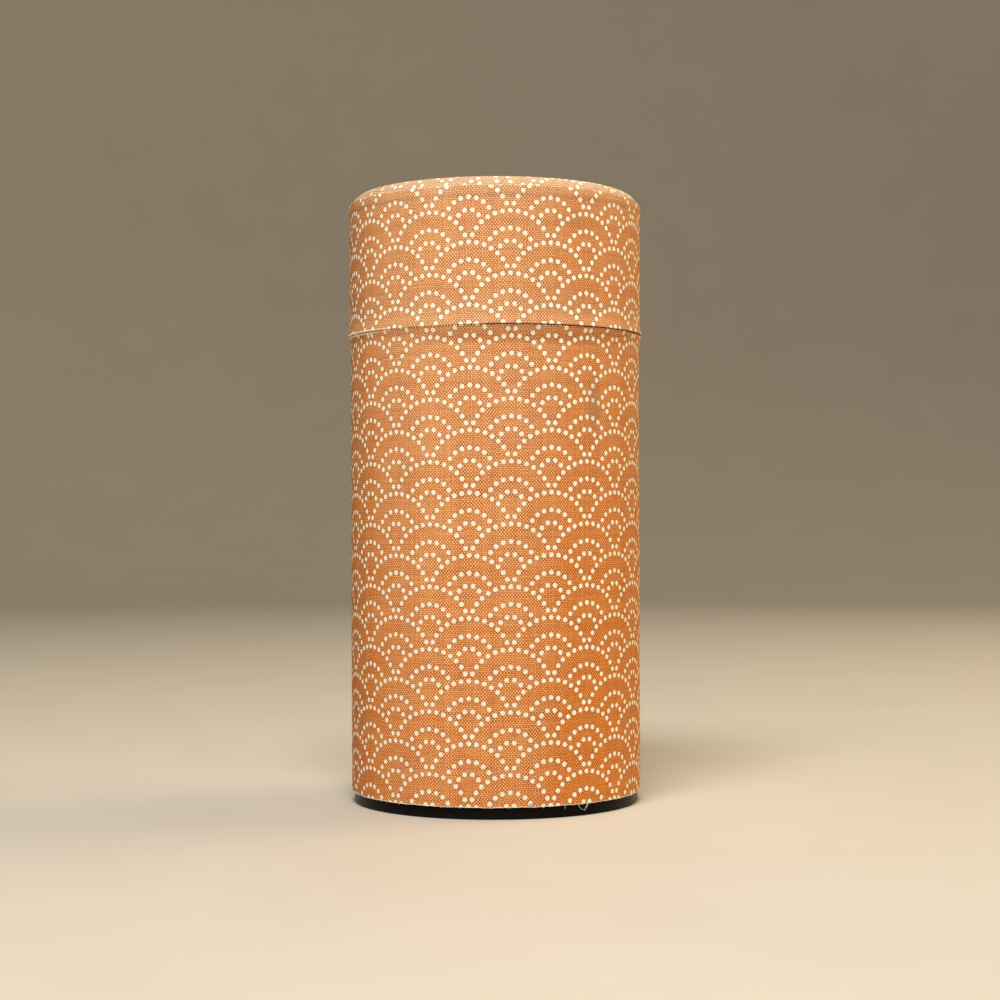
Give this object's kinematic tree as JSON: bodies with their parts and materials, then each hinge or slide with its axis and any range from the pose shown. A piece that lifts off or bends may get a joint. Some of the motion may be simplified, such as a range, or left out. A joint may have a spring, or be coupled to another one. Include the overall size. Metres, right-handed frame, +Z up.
{
  "type": "tea caddy",
  "caption": "Tall round tinplate tea caddy covered in printed cotton, with a deep slip-over lid, a neck inside it, a knobbed inner lid and a black seamed foot.",
  "frame": {"origin": "middle of the foot, on the surface the caddy stands on", "axes": "+Z up along the caddy's axis, front of the picture towards -Y, cloth seam at +Y"},
  "size_m": [0.0774, 0.0778, 0.1584],
  "materials": {
    "printed_cotton": "plain-woven cotton, orange with a dotted wave print in off-white",
    "black_lacquer": "glossy black lacquer on tinplate",
    "tinplate": "bright tinplate with faint rolling lines",
    "polished_tin": "turned and polished"
  },
  "bodies": {
    "caddy_body": {"body_tube": "tinplate", "bottom_end": "black_lacquer", "neck_sleeve": "tinplate", "body_wrap": "printed_cotton"},
    "inner_lid": {"inner_lid_pan": "tinplate", "inner_lid_knob": "polished_tin", "inner_lid_rivet": "polished_tin"},
    "lid": {"lid_tube": "tinplate", "lid_top_plate": "tinplate", "lid_side_wrap": "printed_cotton", "lid_top_wrap": "printed_cotton"}
  },
  "joints": [
    {"name": "inner_lid_lift", "type": "slide", "parent": "caddy_body", "child": "inner_lid", "axis": [0, 0, 1], "range_m": [0, 0.07]},
    {"name": "lid_lift", "type": "slide", "parent": "inner_lid", "child": "lid", "axis": [0, 0, 1], "range_m": [0, 0.08]}
  ]
}
